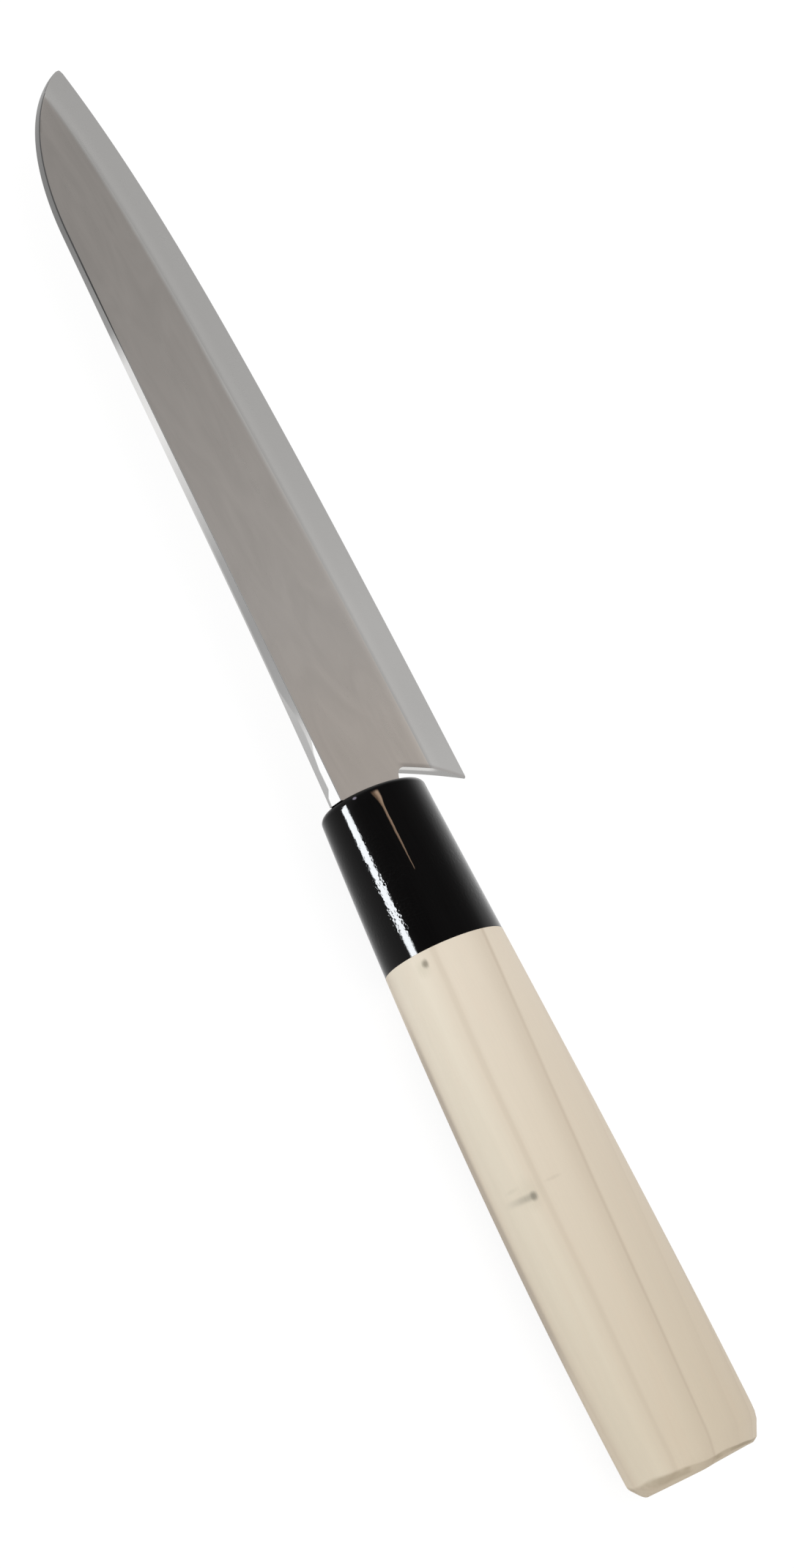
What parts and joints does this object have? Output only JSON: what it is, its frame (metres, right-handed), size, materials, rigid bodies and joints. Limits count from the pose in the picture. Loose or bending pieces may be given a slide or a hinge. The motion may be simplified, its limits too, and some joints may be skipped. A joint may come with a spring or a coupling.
{
  "type": "santoku knife",
  "caption": "Kitchen knife with a single-bevel santoku blade, a black oval ferrule and a pale oval wooden handle, for slicing and chopping.",
  "frame": {"origin": "centre of the bottom of the bounding box, with the knife lying on its flat side", "axes": "+X from the butt of the handle to the point of the blade, +Y from the cutting edge to the spine, +Z out of the ground face of the blade"},
  "size_m": [0.297, 0.0498, 0.0244],
  "materials": {
    "blade": "satin ground stainless steel with a polished spine",
    "ferrule": "polished black with a natural brown streak",
    "handle": "bare sanded pale wood with fine straight grain",
    "tang_bedding": "cured resin, hidden"
  },
  "bodies": {
    "root": {"blade": "blade", "ferrule": "ferrule", "handle": "handle", "tang_bedding": "tang_bedding"}
  },
  "joints": []
}
